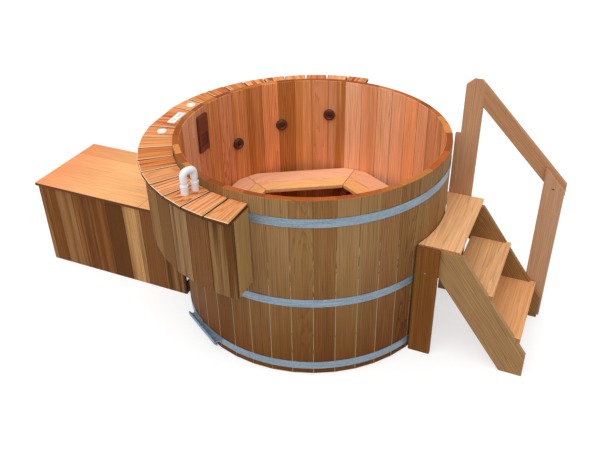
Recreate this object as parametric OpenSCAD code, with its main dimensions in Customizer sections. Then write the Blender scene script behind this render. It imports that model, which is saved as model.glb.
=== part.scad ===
// Round cedar hot tub with a bench, jets, a boarded skirt, an equipment box and steps.
// Millimetres. The tub's axis is Z, the ground is z = 0 and the steps stand on the +X side.
// Angles run anticlockwise from +X, seen from above.

/* [Tub] */
// Axis to the flat outer face of a stave
tub_r = 855; // [846:1:858]
// Thickness of the staves
stave_t = 40; // [34:1:44]
// Number of staves
stave_n = 42; // [42:2:44]
// Height of the rim above the ground
rim_z = 1226; // [1210:1:1250]
// Height of the staves' lower ends above the ground
stave_foot = 6; // [3:1:15]
// Side of the square joists under the floor
joist = 89; // [70:1:100]
// Thickness of the floor boards
floor_t = 38; // [32:1:42]
// Depth of the croze, the groove that holds the floor
croze = 11; // [8:1:14]

/* [Hoops] */
// Width of a hoop
hoop_w = 53; // [40:1:56]
// Thickness of a hoop
hoop_t = 1.8; // [1.2:0.1:2]
// Heights of the three hoops' centres
hoop_z = [71, 548, 1088]; // [50:1:1090]
// Where each hoop's draw lugs meet
hoop_a = [-122.5, 141, 152]; // [-124:0.5:153]
// Radius of the draw rods
rod_r = 6; // [5:0.5:7]

/* [Bench] */
// Height of the seat
bench_z = 540; // [480:1:560]
// Thickness of the seat boards
bench_t = 30; // [25:1:34]
// Axis to the straight back edge of the outer ring
bench_back = 744; // [730:1:760]
// Axis to the seam between the two rings
bench_seam = 602; // [590:1:620]
// Axis to the edge of the foot well
bench_well = 490; // [470:1:510]
// Gap between seat boards
bench_gap = 5; // [3:0.5:8]

/* [Jets and skimmer] */
// Radius of a jet's flange
jet_r = 43; // [38:1:46]
// Directions of the jets of one group
jet_a = [104.3, 129.2, 154.2]; // [104:0.1:155]
// Heights of the same jets
jet_z = [967, 900, 832]; // [820:1:970]
// Width of the skimmer's plate
skim_w = 121; // [110:1:126]
// Lower and upper edge of the skimmer's plate
skim_z = [913, 1182]; // [900:1:1190]
// Direction of the skimmer
skim_a = 178.3; // [177:0.1:179]

/* [Skirt] */
// Height of the cap boards' top
cap_z = 1173; // [1165:1:1180]
// Thickness of the cap boards
cap_t = 23; // [20:1:26]
// Axis to the outer corners of the cap boards
cap_r = 1071; // [1062:1:1076]
// Gap between cap boards
cap_gap = 10; // [6:1:14]
// Bevel along the cap boards' upper edges
cap_bevel = 3; // [1:0.5:4]
// Axis to the outer face of the skirt's planks
skirt_r = 1040; // [1036:1:1042]
// Thickness of the skirt's planks
skirt_t = 22; // [18:1:23]
// Height of the planks' lower ends
skirt_z = 657.5; // [656:0.5:660]

/* [Controls] */
// Distance from the axis to the control panel's centre
panel_r = 944; // [938:1:950]
// Length of the control panel, along the rim
panel_l = 165; // [140:1:180]
// Width of the control panel
panel_w = 55; // [46:1:60]
// Diameter of an air knob
knob_d = 62; // [50:1:68]
// Distances from the axis to the two air knobs
knob_r = [958, 972]; // [950:1:980]
// Outer diameter of the water pipes
pipe_d = 48; // [42:1:49]
// Outer diameter of the pipe bend's risers
loop_d = 34; // [30:1:36]
// Height of the pipe bend above the cap
loop_h = 152; // [140:1:190]

/* [Equipment box] */
// Left end of the box walls
box_x0 = -1949; // [-2000:1:-1900]
// Right end of the box's front wall
box_x1 = -785; // [-800:1:-775]
// Outer face of the front wall
box_y0 = -420; // [-440:1:-410]
// Outer face of the back wall
box_y1 = 236; // [230:1:245]
// Height of the walls
box_h = 632.5; // [620:0.5:632.5]
// Thickness of the wall planks
box_t = 20; // [18:1:22]
// Thickness of the lid boards
lid_t = 22; // [18:1:22]
// How far the lid stands out past the front and the left wall
lid_over = 13; // [5:1:20]
// Right end of the part that opens
lid_x1 = -1084; // [-1100:1:-1082]

/* [Steps] */
// Thickness of the steps' lumber
lumber = 30; // [26:1:32]
// Heights of the three treads
tread_z = [785, 528, 270]; // [260:1:790]
// Front edges of the three treads
tread_x = [1044, 1258, 1453]; // [1040:1:1460]
// Depth of the lower treads
tread_w = 255; // [220:1:260]
// Width of a stringer
stringer_w = 204; // [190:1:215]
// Outer faces of the near and the far stringer
stringer_y = [-318, 306]; // [-330:1:320]
// Height of the handrail's top end
rail_z = 1556; // [1500:1:1600]
// Width of the handrail
rail_w = 98; // [85:1:105]

/* [Hidden] */
$fn = 48;

pitch = 360 / stave_n;                     // one stave, and one unit of the skirt
half = pitch / 2;
seam_a = 1.9;                              // direction of one joint between staves
bore_r = tub_r - stave_t;                  // axis to the flat inner face of a stave
tub_corner = tub_r / cos(half);            // the staves' outer edges
floor_r = bore_r + croze;
floor_top = joist + floor_t;
joint = 0.4;                               // open joint between touching boards
ease = 2;                                  // rounding of a board's long edges
hoop_r = tub_corner + 0.2;
clear_r = hoop_r + hoop_t + 1.5;           // what stands against the tub and its hoops
flange_x = bore_r - 1.5;                   // a flat fitting bears on the wall here
nut_x = tub_corner + 0.2;
cap_under = cap_z - cap_t;
jets = [for (s = [1, -1], i = [0:2]) [s * jet_a[i], jet_z[i]]];
skirt_in = skirt_r - skirt_t;
band_in = skirt_in - 11;                   // inner face of the laths behind the planks
skirt_n = stave_n / 2;                     // the skirt covers the half of the tub at -X
wide_unit = 9;                             // the cap's double board starts at this unit
knob_unit = [8, 11];                       // units that carry the air knobs
loop_unit = 2;                             // unit that carries the pipe bend
loop_r = [902, 973];                       // its risers' distances from the axis
lid_z = box_h + 0.5;
lid_seams = [box_y0 - lid_over, -235, -70, 93, box_y1];
hinge_x = [-1850, -1520, -1190];
pin_y = box_y1 + 6.5;

// ---------------------------------------------------------------- shared shapes

// A rectangle with rounded corners, from the origin
module eased_rect(w, h, r = ease) {
    translate([r, 0]) square([w - 2 * r, h]);
    translate([0, r]) square([w, h - 2 * r]);
    for (x = [r, w - r], y = [r, h - r]) translate([x, y]) circle(r, $fn = 24);
}

// Boards with rounded long edges, from the origin: size is [x, y, z]
module board_x(size, r = ease)
    rotate([90, 0, 90]) linear_extrude(size[0]) eased_rect(size[1], size[2], r);
module board_y(size, r = ease)
    translate([0, size[1], 0]) rotate([90, 0, 0]) linear_extrude(size[1]) eased_rect(size[0], size[2], r);
module board_z(size, r = ease)
    linear_extrude(size[2]) eased_rect(size[0], size[1], r);

// Puts its children on a ray from the axis, which becomes their X axis
module on_ray(a, z = 0) rotate(a) translate([0, 0, z]) children();

// A round bar along X
module bar_x(x0, x1, r, sides = 48)
    translate([x0, 0, 0]) rotate([0, 90, 0]) cylinder(r = r, h = x1 - x0, $fn = sides);

// An outline in X and Z, as thick as the gap between two Y values
module slab_xz(y0, y1) translate([0, y1, 0]) rotate([90, 0, 0]) linear_extrude(y1 - y0) children();

// ---------------------------------------------------------------- tub

// Half the width of a stave at a distance from the axis
function stave_half(x) = x * tan(half) - joint / 2;

// One stave in plan: a bead on one edge, the matching cove on the other
module stave_plan() {
    mid = bore_r + stave_t / 2;
    bead = 8;
    sunk = 3;
    difference() {
        union() {
            polygon([[bore_r, -stave_half(bore_r)], [tub_r, -stave_half(tub_r)],
                     [tub_r, stave_half(tub_r)], [bore_r, stave_half(bore_r)]]);
            translate([mid, stave_half(mid) - sunk]) circle(bead, $fn = 32);
        }
        rotate(-pitch) translate([mid, stave_half(mid) - sunk]) circle(bead + joint, $fn = 32);
    }
}

// The stave that the skimmer's throat passes through
skim_stave = floor((skim_a - seam_a) / pitch);

// Staves stand in a ring; the croze, the rim's bevels and the fittings' holes are cut through all
module cut_staves(numbers) color("peru") difference() {
    for (i = numbers)
        on_ray(seam_a + (i + 0.5) * pitch, stave_foot) linear_extrude(rim_z - stave_foot) stave_plan();
    translate([0, 0, joist - joint / 2]) cylinder(r = floor_r + joint, h = floor_t + joint);
    for (r = [[bore_r - 1, bore_r + 4], [tub_corner + 1, tub_corner - 4]])
        translate([0, 0, rim_z]) rotate_extrude() polygon([[r[0], 1], [r[1], 1], [r[0], -4]]);
    for (j = jets) on_ray(j[0], j[1]) bar_x(bore_r - 5, tub_r + 10, jet_tail + joint);
    for (a = suction_a) on_ray(a, suction_z) bar_x(bore_r - 5, tub_r + 10, jet_tail + joint);
    on_ray(skim_a, throat_z[0] - joint) translate([bore_r - 5, -throat_w / 2 - joint, 0])
        cube([stave_t + 15, throat_w + 2 * joint, throat_z[1] - throat_z[0] + 2 * joint]);
}
module staves() cut_staves([for (i = [0:stave_n - 1]) if (i != skim_stave) i]);
module skimmer_stave() cut_staves([skim_stave]);

// Tongued and grooved boards, cut to a disc that sits in the croze
floor_n = 13;
module floor_boards() color("sienna") {
    w = 2 * floor_r / floor_n;
    tongue = 9;
    intersection() {
        translate([0, 0, joist]) cylinder(r = floor_r, h = floor_t, $fn = 96);
        translate([-floor_r, 0, joist]) for (i = [0:floor_n - 1]) {
            y = -floor_r + i * w;
            rotate([90, 0, 90]) linear_extrude(2 * floor_r) difference() {
                union() {
                    translate([y + joint, 0]) square([w - joint, floor_t]);
                    translate([y + w - 1, (floor_t - tongue) / 2]) square([tongue, tongue]);
                }
                translate([y - 1, (floor_t - tongue) / 2 - joint]) square([tongue + 2, tongue + 2 * joint]);
            }
        }
    }
}

// Three joists on the ground carry the floor; the staves hang clear of the ground around them
joist_x = [-500, 0, 500];
module floor_joists() color("sienna") for (x = joist_x) {
    l = 2 * sqrt(pow(bore_r - 6, 2) - pow(abs(x) + joist / 2, 2));
    translate([x - joist / 2, -l / 2, 0]) board_y([joist, l, joist], 3);
}

// Flat bands with a gap under the draw lugs
hoop_gap_a = 2;
module hoops() color("silver") for (i = [0:2])
    on_ray(hoop_a[i] + hoop_gap_a / 2, hoop_z[i] - hoop_w / 2)
        rotate_extrude(angle = 360 - hoop_gap_a, $fn = 96)
        translate([hoop_r, 0]) square([hoop_t, hoop_w]);

// A draw lug: a saddle on the band, a web and a barrel that the rod runs through
rod_x = hoop_r + hoop_t + 21;
module draw_lug(y0, y1) {
    saddle_r = hoop_r + hoop_t + 0.1;
    saddle_h = hoop_w * 0.84;
    saddle_t = 3;
    web_t = 10;
    ends = [asin(y0 / saddle_r), asin(y1 / saddle_r)];
    rotate(ends[0]) translate([0, 0, -saddle_h / 2]) rotate_extrude(angle = ends[1] - ends[0], $fn = 96)
        translate([saddle_r, 0]) square([saddle_t, saddle_h]);
    difference() {
        union() {
            translate([rod_x, y1, 0]) rotate([90, 0, 0]) cylinder(r = rod_r + 5, h = y1 - y0);
            translate([saddle_r - 25, y0 + 2, -web_t / 2]) cube([rod_x - saddle_r + 25, y1 - y0 - 4, web_t]);
        }
        translate([0, 0, -hoop_w]) cylinder(r = saddle_r + saddle_t / 2, h = 2 * hoop_w, $fn = 96);
        translate([rod_x, y1 + 1, 0]) rotate([90, 0, 0]) cylinder(r = rod_r + 0.3, h = y1 - y0 + 2);
    }
}
lug_y = [[-147, -2], [2, 195]];
module draw_lugs() color("silver") for (i = [0:2], y = lug_y)
    on_ray(hoop_a[i], hoop_z[i]) draw_lug(y[0], y[1]);

// Threaded rods with a nut against each lug's outer end
module draw_rods() color("gray") for (i = [0:2]) on_ray(hoop_a[i], hoop_z[i]) translate([rod_x, 0, 0]) {
    nut = 10;
    past = 14;                             // threaded ends stand past the nuts
    ends = [lug_y[0][0], lug_y[1][1]];
    rotate([-90, 0, 0]) translate([0, 0, ends[0] - nut - past])
        cylinder(r = rod_r, h = ends[1] - ends[0] + 2 * (nut + past));
    for (y = [ends[0] - nut, ends[1]]) translate([0, y + 0.05, 0])
        rotate([-90, 0, 0]) cylinder(r = rod_r * 1.75, h = nut - 0.1, $fn = 6);
}

// ---------------------------------------------------------------- bench

// One of six boards that meet in mitres; its front edge is rounded
module mitred_board(front, back) {
    long = 2 * back * tan(30) + 20;
    intersection() {
        translate([front, -long / 2, bench_z - bench_t]) board_y([back - front, long, bench_t], 5);
        translate([bench_gap / 2 / sin(30), 0, bench_z - bench_t - 1]) linear_extrude(bench_t + 2)
            polygon([[0, 0], [1000, -1000 * tan(30)], [1000, 1000 * tan(30)]]);
        cylinder(r = bore_r - 4, h = bench_z + 1, $fn = 96);
    }
}
module bench_ring(front, back) for (i = [0:5]) rotate(60 * i) mitred_board(front, back);
module bench_outer_boards() color("burlywood") bench_ring(bench_seam + bench_gap / 2, bench_back);
module bench_inner_boards() color("wheat") bench_ring(bench_well, bench_seam - bench_gap / 2);

// Radial bearers under the mitres, each on two legs that stand on the floor
bearer_h = 62;
bearer_t = 40;
leg_w = 60;
bearer_r = [bench_well / cos(30) + 16, bore_r - 8];
module bench_bearers() color("sienna") for (i = [0:5])
    on_ray(60 * i + 30, bench_z - bench_t - bearer_h) translate([bearer_r[0], -bearer_t / 2, 0])
        board_x([bearer_r[1] - bearer_r[0], bearer_t, bearer_h]);
module bench_legs() color("sienna") for (i = [0:5], r = [bearer_r[0] + 8, bearer_r[1] - leg_w - 8])
    on_ray(60 * i + 30, floor_top) translate([r, -bearer_t / 2, 0])
        board_z([leg_w, bearer_t, bench_z - bench_t - bearer_h - floor_top]);

// ---------------------------------------------------------------- jets, suctions and skimmer

jet_tail = 24;                             // radius of the threaded tail
tail_end = nut_x + 48;
jet_bore = 16;
jet_flange = 6;
jet_nut = 14;

// A through-wall fitting: flange inside, threaded tail and hexagonal nut outside
module jet_bodies() color("saddlebrown") for (j = jets) on_ray(j[0], j[1]) difference() {
    union() {
        bar_x(flange_x - jet_flange, flange_x, jet_r);
        bar_x(flange_x - 1, tail_end, jet_tail);
        bar_x(nut_x, nut_x + jet_nut, jet_r - 4, 6);
    }
    bar_x(flange_x - jet_flange - 1, tail_end - 12, jet_bore);
}

// The face that turns to open and shut a jet: dished, scalloped round the rim, with a nozzle
module jet_face(i) color("maroon") on_ray(jets[i][0], jets[i][1])
    translate([flange_x - jet_flange - 0.4, 0, 0]) rotate([0, -90, 0]) difference() {
        rotate_extrude() polygon([[7, -18], [jet_bore - 0.5, -18], [jet_bore - 0.5, 0], [jet_r - 2, 0],
            [jet_r - 2, 5], [jet_r - 6, 11], [25, 13], [20, 7], [13, 6], [12, 11], [7, 11]]);
        for (a = [0:30:330]) rotate(a) translate([jet_r, 0, -1]) cylinder(r = 5, h = 15, $fn = 24);
    }
module jet_face_1() jet_face(0);
module jet_face_2() jet_face(1);
module jet_face_3() jet_face(2);
module jet_face_4() jet_face(3);
module jet_face_5() jet_face(4);
module jet_face_6() jet_face(5);

// Two suction fittings below the bench, each a domed cover with slots
suction_a = [171, -171];
suction_z = 265;
suction_x = flange_x - 0.5;
module suction_fittings() color("saddlebrown") for (a = suction_a) on_ray(a, suction_z) difference() {
    union() {
        translate([suction_x, 0, 0]) rotate([0, -90, 0]) rotate_extrude()
            polygon([[0, 0], [54, 0], [54, 5], [46, 14], [26, 21], [0, 22]]);
        bar_x(suction_x - 1, tail_end + 2, jet_tail);
        bar_x(nut_x, nut_x + jet_nut, jet_r - 4, 6);
    }
    bar_x(suction_x - 16, tail_end + 3, jet_bore);
    for (y = [-30:12:30]) translate([suction_x - 24, y - 2.5, -30]) cube([12, 5, 60]);
}

// The skimmer's plate: a raised panel on a rounded flange, with a mouth low down that the flap shuts
throat_w = 88;
throat_z = [954, 1056];
mouth_w = 78;
mouth_z = [960, 1050];
plate_t = 14;
module plate_outline(inset, r) translate([inset - skim_w / 2, inset])
    eased_rect(skim_w - 2 * inset, skim_z[1] - skim_z[0] - 2 * inset, r);
module skimmer_plate() color("saddlebrown") on_ray(skim_a) difference() {
    translate([0, 0, skim_z[0]]) rotate([90, 0, 90]) {
        translate([0, 0, flange_x - plate_t / 2]) linear_extrude(plate_t / 2 + 0.5) plate_outline(0, 18);
        translate([0, 0, flange_x - plate_t]) linear_extrude(plate_t) plate_outline(5, 14);
    }
    translate([flange_x - plate_t - 1, -mouth_w / 2, mouth_z[0]]) rotate([90, 0, 90])
        linear_extrude(plate_t + 2) eased_rect(mouth_w, mouth_z[1] - mouth_z[0], 2);
}

// The throat: a rectangular duct through the wall with a spigot underneath
throat_x = [flange_x + 0.6, 1003];
spigot_x = 978;
spigot_h = 36;
spigot_r = 22;
skim_pipe_r = 18;
module skimmer_throat() color("dimgray") on_ray(skim_a) difference() {
    union() {
        translate([throat_x[0], -throat_w / 2, throat_z[0]])
            cube([throat_x[1] - throat_x[0], throat_w, throat_z[1] - throat_z[0]]);
        translate([spigot_x, 0, throat_z[0] - spigot_h]) cylinder(r = spigot_r, h = spigot_h + 1);
    }
    translate([throat_x[0] - 1, -throat_w / 2 + 4, throat_z[0] + 4])
        cube([throat_x[1] - throat_x[0] - 3, throat_w - 8, throat_z[1] - throat_z[0] - 8]);
    translate([spigot_x, 0, throat_z[0] - spigot_h - 1]) cylinder(r = skim_pipe_r, h = spigot_h + 10);
    translate([flap_pin[0], 0, flap_pin[1]]) rotate([90, 0, 0])
        translate([0, 0, -throat_w / 2 + 1]) cylinder(r = flap_pin_r + 0.4, h = throat_w - 2);
}

// The floating flap shuts the mouth: hinged along its lower edge, with a float behind it and a round
// boss on its face
flap_pin = [flange_x + 9, throat_z[0] + 9];
flap_pin_r = 2.5;
flap_h = 84;
flap_x = -19.5;                            // from the pin to the flap's face
boss_z = 998;
module skimmer_flap() color("sienna") on_ray(skim_a) translate([flap_pin[0], 0, flap_pin[1]]) {
    w = mouth_w - 2;
    rotate([90, 0, 0]) translate([0, 0, -throat_w / 2 + 2]) cylinder(r = flap_pin_r, h = throat_w - 4);
    rotate([90, 0, 0]) translate([0, 0, -w / 2]) linear_extrude(w) {
        circle(4, $fn = 32);
        translate([flap_x, -1.5]) square([-flap_x, 4]);
        translate([flap_x, -1.5]) eased_rect(5, flap_h, 1.2);
        translate([flap_x + 4, flap_h - 34]) eased_rect(14, 28, 4);
    }
    translate([0, 0, boss_z - flap_pin[1]]) bar_x(flap_x - 2.5, flap_x + 2, 13);
}

// ---------------------------------------------------------------- skirt and its cap

// One cap board in plan: it fills a number of units, less the gap at each side
module cap_plan(units) {
    inner = (tub_corner + 0.9) / cos(half);
    a = units * half;
    g = cap_gap / 2;
    function corner(r, s) = [r * cos(a), s * (r * sin(a) - g / cos(a))];
    polygon([corner(inner, -1), corner(cap_r, -1), corner(cap_r, 1), corner(inner, 1),
             if (units > 1) [inner, 0]]);
}

// A cap board with bevels along its upper edges
module cap_board(first, units = 1) {
    a = units * half;
    past = 2;                              // the cutter's edges stand this far off the board's
    side = (cap_bevel + 2 * past) * sqrt(2);
    on_ray(-90 - (first + units / 2) * pitch, cap_under) difference() {
        linear_extrude(cap_t) cap_plan(units);
        for (s = [-1, 1]) rotate(s * a) translate([cap_r, s * (past - cap_gap / 2), cap_t + past])
            rotate([45, 0, 0]) cube([600, side, side], center = true);
        translate([cap_r * cos(a) + past, 0, cap_t + past]) rotate([0, 45, 0])
            cube([side, 600, side], center = true);
    }
}

// Single boards, bored for the air knobs' spindles and the pipes
module cap_boards() color("chocolate") difference() {
    for (i = [0:skirt_n - 1]) if (i < wide_unit || i > wide_unit + 1) cap_board(i);
    for (k = [0, 1]) on_ray(unit_a(knob_unit[k]), cap_under - 1) translate([knob_r[k], 0, 0])
        cylinder(r = knob_spindle + 1, h = cap_t + 2);
    for (r = loop_r) on_ray(loop_a, cap_under - 1) translate([r, 0, 0])
        cylinder(r = loop_d / 2 + 0.3, h = cap_t + 2);
}
function unit_a(i) = -90 - (i + 0.5) * pitch;

// The double board that holds the control panel in a cut-out
panel_a = -90 - (wide_unit + 1) * pitch;
panel_lap = 5;                             // the bezel's margin on the board
module cap_panel_board() color("chocolate") difference() {
    cap_board(wide_unit, 2);
    on_ray(panel_a, cap_under - 1)
        translate([panel_r - panel_w / 2 + panel_lap, -panel_l / 2 + panel_lap, 0])
            cube([panel_w - 2 * panel_lap, panel_l - 2 * panel_lap, cap_t + 2]);
}

// Upright planks, one to each unit
module skirt_planks() color("tan") for (i = [0:skirt_n - 1]) {
    w = 2 * skirt_in * tan(half) - 2;
    on_ray(unit_a(i), skirt_z) translate([skirt_in, -w / 2, 0]) board_z([skirt_t, w, cap_under - skirt_z]);
}

// Radial boards that shut the skirt's two ends
module skirt_end_panels() color("tan") for (s = [-1, 1])
    translate([-skirt_t, s > 0 ? clear_r : -skirt_in + 1.5, skirt_z])
        board_z([skirt_t, skirt_in - 1.5 - clear_r, cap_under - skirt_z]);

// Bent laths behind the planks, high and low, in lengths of three units
band_h = 70;
band_z = [skirt_z + 22, cap_under - band_h - joint];
module skirt_bands() color("sienna") difference() {
    for (z = band_z, i = [0:3:skirt_n - 1])
        on_ray(-90 - (i + 3) * pitch + 1.3, z) rotate_extrude(angle = 3 * pitch - 2.6, $fn = 96)
            translate([band_in, 0]) square([skirt_in - 0.3 - band_in, band_h]);
}

// Arms that hang the skirt on the tub, square to the face of a stave
arm = 30;
arm_a = [for (s = [-1, 1], i = [12.5:3:18.5]) seam_a + s * i * pitch];
module skirt_arms() color("sienna") for (a = arm_a, z = [band_z[0] + 20, cap_under - arm - joint])
    on_ray(a, z) translate([tub_r, -arm / 2, 0]) board_x([band_in - 0.3 - tub_r, arm, arm]);

// ---------------------------------------------------------------- controls and air pipes

// A shallow bezel on the board with a box below it; the buttons sit in pockets beside a display
bezel_h = 6;
bezel_step = 1.5;
panel_box_h = 34;
button_y = [-58, -38, -18];
button = [20, 13];
display = [26, 58];
display_y = 8;
module control_panel() color("white") on_ray(panel_a, cap_z) translate([panel_r, 0, 0]) difference() {
    in = panel_lap + 0.5;
    union() {
        translate([-panel_w / 2, -panel_l / 2, 0]) linear_extrude(bezel_h - bezel_step)
            eased_rect(panel_w, panel_l, 5);
        translate([bezel_step - panel_w / 2, bezel_step - panel_l / 2, 0]) linear_extrude(bezel_h)
            eased_rect(panel_w - 2 * bezel_step, panel_l - 2 * bezel_step, 4);
        translate([in - panel_w / 2, in - panel_l / 2, -panel_box_h])
            cube([panel_w - 2 * in, panel_l - 2 * in, panel_box_h + 0.5]);
    }
    for (y = button_y) translate([-button[0] / 2 - 0.5, y - button[1] / 2 - 0.5, bezel_h - 4])
        linear_extrude(5) eased_rect(button[0] + 1, button[1] + 1, 2.5);
    translate([-display[0] / 2, display_y, bezel_h - 1]) linear_extrude(2)
        eased_rect(display[0], display[1], 3);
}

// A push button, standing a little proud of the bezel
module panel_button(i) color("gainsboro") on_ray(panel_a, cap_z + bezel_h - 2.4)
    translate([panel_r - button[0] / 2, button_y[i] - button[1] / 2, 0])
        linear_extrude(3.8) eased_rect(button[0], button[1], 2);
module panel_button_1() panel_button(0);
module panel_button_2() panel_button(1);
module panel_button_3() panel_button(2);

// Air valves under the cap; the knobs' spindles turn in them
knob_spindle = 8;
valve_h = 52;
valve_r = 21;
module air_valves() color("whitesmoke") for (k = [0, 1])
    on_ray(unit_a(knob_unit[k]), cap_under - valve_h) translate([knob_r[k], 0, 0]) difference() {
        union() {
            cylinder(r = valve_r, h = valve_h - 8);
            cylinder(r = valve_r + 6, h = 12);
            translate([0, 0, valve_h - 8]) cylinder(r = valve_r + 4, h = 8);
        }
        translate([0, 0, 16]) cylinder(r = knob_spindle + 0.4, h = valve_h);
        translate([0, 0, -1]) cylinder(r = 14, h = 12);
    }

// An air knob: a low disc with a rounded rim, a raised bar to grip, and a spindle
module air_knob(k) color("white") on_ray(unit_a(knob_unit[k]), cap_z + 0.6) translate([knob_r[k], 0, 0]) {
    r = knob_d / 2;
    rotate_extrude() {
        polygon([[0, 0], [r, 0], [r, 5], [r - 3, 8], [r - 9, 9], [0, 9]]);
        polygon([[0, -cap_t - 32], [knob_spindle, -cap_t - 32], [knob_spindle, 0.1], [0, 0.1]]);
    }
    translate([-r + 8, -4, 8]) cube([2 * r - 16, 8, 6]);
}
module air_knob_1() air_knob(0);
module air_knob_2() air_knob(1);

// The pipe bend on the cap: two risers, joined over the top by a pair of long elbows
loop_a = unit_a(loop_unit) - 0.5;
loop_half = (loop_r[1] - loop_r[0]) / 2;
riser_z = cap_under - 90;
elbow_r = loop_d / 2 + 3.5;
elbow_bend = 26;
elbow_x = loop_half - elbow_bend;
crown_z = cap_z + loop_h - elbow_bend - elbow_r;
socket = 30;
collar_h = 54;
module loop_frame() on_ray(loop_a) translate([loop_r[0] + loop_half, 0, 0]) children();
module air_loop_pipes() color("white") loop_frame() for (s = [-1, 1]) translate([s * loop_half, 0, riser_z])
    difference() {
        cylinder(r = loop_d / 2, h = crown_z - 4 - riser_z);
        translate([0, 0, -1]) cylinder(r = loop_d / 2 - 3, h = crown_z - riser_z);
    }

// The inside or the outside of an elbow: half the bar over the top, then the bend
module elbow(x0, r) {
    translate([elbow_x, 0, crown_z]) rotate([90, 0, 0]) rotate_extrude(angle = 90)
        translate([elbow_bend, 0]) circle(r);
    translate([0, 0, crown_z + elbow_bend]) bar_x(x0, elbow_x, r);
}

// The elbows with their sockets, and a collar where each riser meets the cap
module air_loop_fittings() color("white") loop_frame() for (s = [0, 1]) mirror([s, 0, 0]) {
    difference() {
        union() {
            elbow(0.2, elbow_r);
            translate([loop_half, 0, crown_z - socket]) cylinder(r = elbow_r, h = socket);
        }
        elbow(-1, elbow_r - 7);
        translate([loop_half, 0, crown_z - socket - 1]) cylinder(r = loop_d / 2 + 0.02, h = socket + 1);
    }
    translate([loop_half, 0, cap_z]) difference() {
        union() {
            cylinder(r = elbow_r + 1, h = collar_h);
            translate([0, 0, collar_h - 8]) cylinder(r = elbow_r + 2, h = 8);
        }
        translate([0, 0, -1]) cylinder(r = loop_d / 2 + 0.02, h = collar_h + 2);
    }
}

// A run of pipe through a list of points, with ball elbows
module pipe_run(points, r) {
    for (i = [0:len(points) - 2]) {
        d = points[i + 1] - points[i];
        translate(points[i]) rotate([0, acos(d[2] / norm(d)), atan2(d[1], d[0])])
            cylinder(r = r, h = norm(d));
    }
    for (i = [1:1:len(points) - 2]) translate(points[i]) sphere(r + 0.5);
}
function polar(r, a, z) = [r * cos(a), r * sin(a), z];

// A curved header inside the skirt, with an upright branch to each jet
header_r = 930;
module header(z, r) {
    first = 90 + 3;
    on_ray(first, z) rotate_extrude(angle = 360 - 2 * first, $fn = 96) translate([header_r, 0]) circle(r);
    for (j = jets) {
        end = z < j[1] ? j[1] - jet_tail - 4.2 : j[1] + jet_tail + 4.2;
        on_ray(j[0], min(z, end)) translate([header_r, 0, 0]) cylinder(r = r * 0.8, h = abs(end - z));
    }
}

// Water: from the suctions and the skimmer to the pump, the filter, the heater and the jets' header
water_z = 767;
bore_pipe = pipe_d / 2 - 2;
return_xy = [-926.7, 78];
skim_xy = [spigot_x * cos(skim_a), spigot_x * sin(skim_a)];
module water_pipes() color("whitesmoke") {
    header(water_z, pipe_d / 2);
    for (j = jets) on_ray(j[0], j[1]) bar_x(tail_end + 0.2, header_r + 26, jet_tail + 4);
    suction = [for (a = suction_a) polar(tail_end + 6.2, a, suction_z)];
    cross = [-923.5, 100];
    pump_in = [pump_at[0] + pump_inlet + 0.2, pump_at[1], pump_at[2]];
    low_z = 40;
    back_z = 160;
    turn_x = [-1285, -1625];
    for (p = suction)
        pipe_run([p, [cross[0], p[1], p[2]], [cross[0], p[1], cross[1]], [cross[0], 0, cross[1]]], bore_pipe);
    pipe_run([[skim_xy[0], skim_xy[1], throat_z[0] - spigot_h - 0.2], [skim_xy[0], skim_xy[1], cross[1]],
        [cross[0], skim_xy[1], cross[1]]], skim_pipe_r);
    pipe_run([[cross[0], 0, cross[1]], [cross[0], 0, low_z], [turn_x[0], 0, low_z],
        [turn_x[0], pump_at[1], low_z], [turn_x[0], pump_at[1], pump_at[2]], pump_in], bore_pipe);
    pipe_run([[pump_at[0] + pump_outlet[0], pump_at[1], pump_at[2] + pump_outlet[1] + 0.2],
        [pump_at[0] + pump_outlet[0], pump_at[1], filter_in],
        [filter_at[0] - filter_port - 0.2, filter_at[1], filter_in]], bore_pipe);
    pipe_run([[filter_at[0], filter_at[1] + filter_port + 0.2, filter_out],
        [filter_at[0], heater_at[1], filter_out], [filter_at[0], heater_at[1], heater_at[2]],
        [heater_at[0] + heater_l + 0.2, heater_at[1], heater_at[2]]], bore_pipe);
    pipe_run([[heater_at[0] - heater_end - 0.2, heater_at[1], heater_at[2]],
        [turn_x[1], heater_at[1], heater_at[2]], [turn_x[1], return_xy[1], back_z],
        [return_xy[0], return_xy[1], back_z], [return_xy[0], return_xy[1], water_z]], bore_pipe);
}

// Air: from the valves and the pipe bend to the jets
air_z = 1043;
air_r = 13;
air_branch_r = 11;
module air_pipes() color("whitesmoke") difference() {
    union() {
        header(air_z, air_r);
        for (k = [0, 1]) {
            a = unit_a(knob_unit[k]);
            pipe_run([polar(header_r, a, air_z), polar(knob_r[k], a, air_z),
                polar(knob_r[k], a, cap_under - valve_h - 0.2)], air_branch_r);
        }
        for (r = loop_r) pipe_run([polar(header_r, loop_a, air_z), polar(r, loop_a, air_z),
            polar(r, loop_a, riser_z - 0.2)], air_branch_r);
    }
    on_ray(skim_a, throat_z[0] - 60) translate([860, -throat_w / 2 - 6, 0]) cube([110, throat_w + 12, 200]);
}

// ---------------------------------------------------------------- equipment box

box_pitch = 143.5;                         // width of a wall plank

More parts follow.
